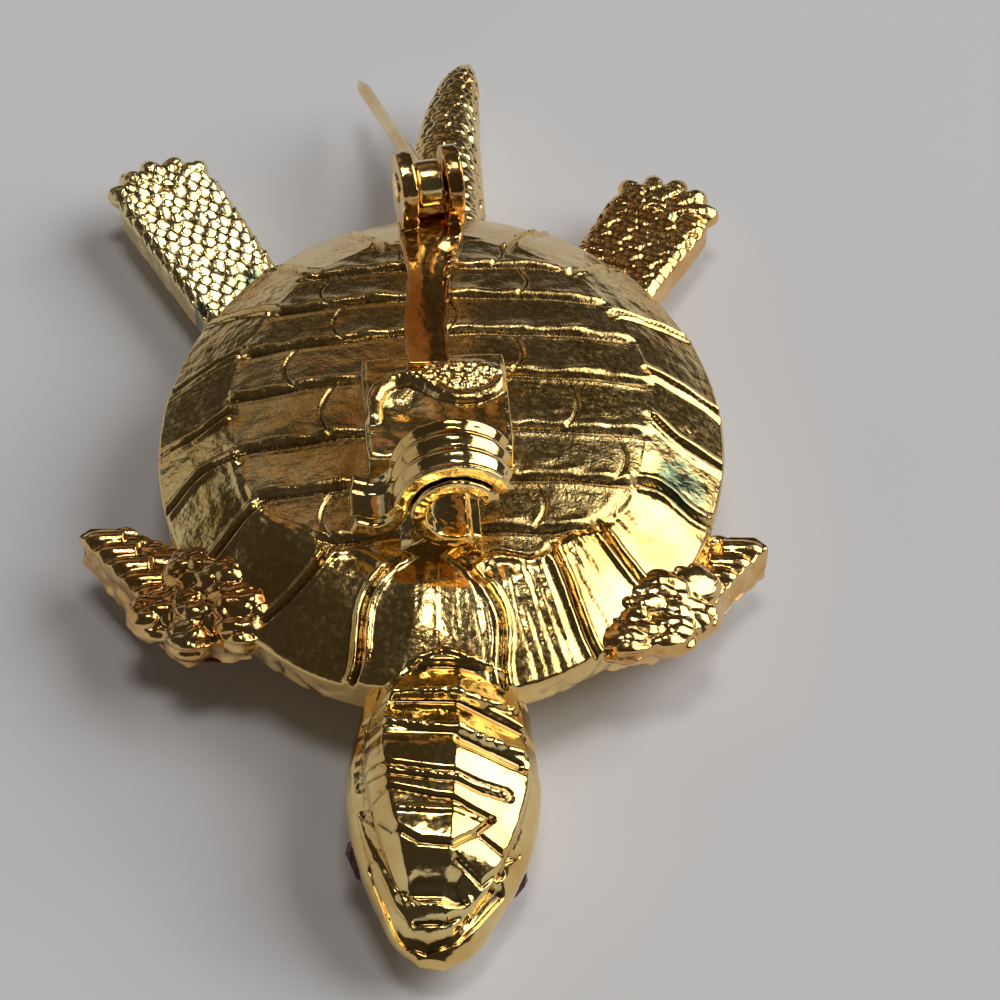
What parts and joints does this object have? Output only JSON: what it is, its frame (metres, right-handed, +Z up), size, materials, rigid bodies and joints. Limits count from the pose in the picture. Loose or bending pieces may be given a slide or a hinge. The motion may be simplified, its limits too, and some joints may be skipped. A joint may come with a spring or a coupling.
{
  "type": "turtle brooch",
  "caption": "Cast metal brooch in the shape of a turtle lying belly up, with faceted stone eyes, a hinged pin stem swung open and a rolling safety catch.",
  "frame": {"origin": "middle of the flat on the carapace that the brooch lies on, under the shell's centre", "axes": "+Z up, away from the carapace and towards the belly that the finding is soldered to; the head points along -Y and the tail along +Y"},
  "size_m": [0.0272, 0.0497, 0.0115],
  "materials": {
    "cast_gold": "polished gold plate over a grainy white-metal casting",
    "finding_gold": "polished gold plate",
    "wire_gold": "drawn and plated wire",
    "red_glass": "faceted dark red glass"
  },
  "bodies": {
    "base": {"turtle_body": "cast_gold", "eye_left": "red_glass", "eye_right": "red_glass", "hinge_rivet": "finding_gold"},
    "pin": {"pin_stem": "wire_gold"},
    "catch": {"catch_sleeve": "finding_gold"}
  },
  "joints": [
    {"name": "pin_hinge", "type": "hinge", "parent": "base", "child": "pin", "pos_m": [-0.00057, 0.00888, 0.01], "axis": [0.9781, 0.2079, 0], "range_deg": [0, 200]},
    {"name": "catch_roll", "type": "hinge", "parent": "base", "child": "catch", "pos_m": [0.00072, -0.00878, 0.00909], "axis": [-0.0732, 0.9973, 0], "range_deg": [0, 76]}
  ]
}
